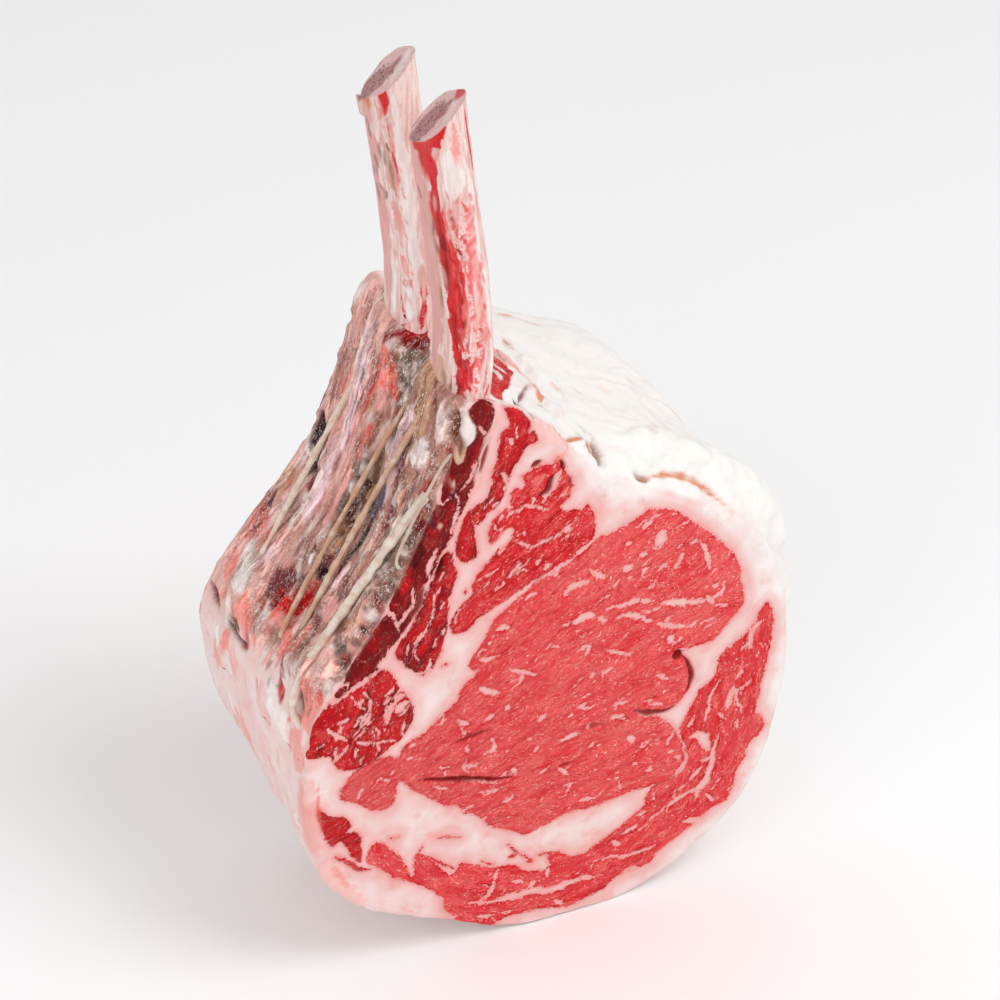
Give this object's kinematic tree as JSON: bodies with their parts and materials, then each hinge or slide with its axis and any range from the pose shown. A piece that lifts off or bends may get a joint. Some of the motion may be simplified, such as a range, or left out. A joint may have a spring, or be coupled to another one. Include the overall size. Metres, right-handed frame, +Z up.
{
  "type": "raw beef rib roast",
  "caption": "Raw beef rib roast with long rib bones, a thick fat cap, cut faces showing the eye and cap muscles, and strands drawn tight over the bone side.",
  "frame": {"origin": "middle of the bounding box at the level of the surface the roast stands on", "axes": "+Z up along the rib bones; -Y out of the front cut face; -X out of the hollow bone side"},
  "size_m": [0.2138, 0.098, 0.3605],
  "materials": {
    "lean": "raw red meat, moist, with white marbling",
    "dark_lean": "dark crimson raw meat, moist",
    "fat": "firm white to pink fat, satin",
    "bone": "fresh pale pink bone with blood streaks",
    "strand": "cream fibre strand, damp"
  },
  "bodies": {
    "root": {"eye_muscle": "lean", "cap_muscle": "lean", "rib_meat": "dark_lean", "fat": "fat", "rib_front": "bone", "rib_back": "bone", "strand_1": "strand", "strand_2": "strand", "strand_3": "strand", "strand_4": "strand", "strand_5": "strand"}
  },
  "joints": []
}
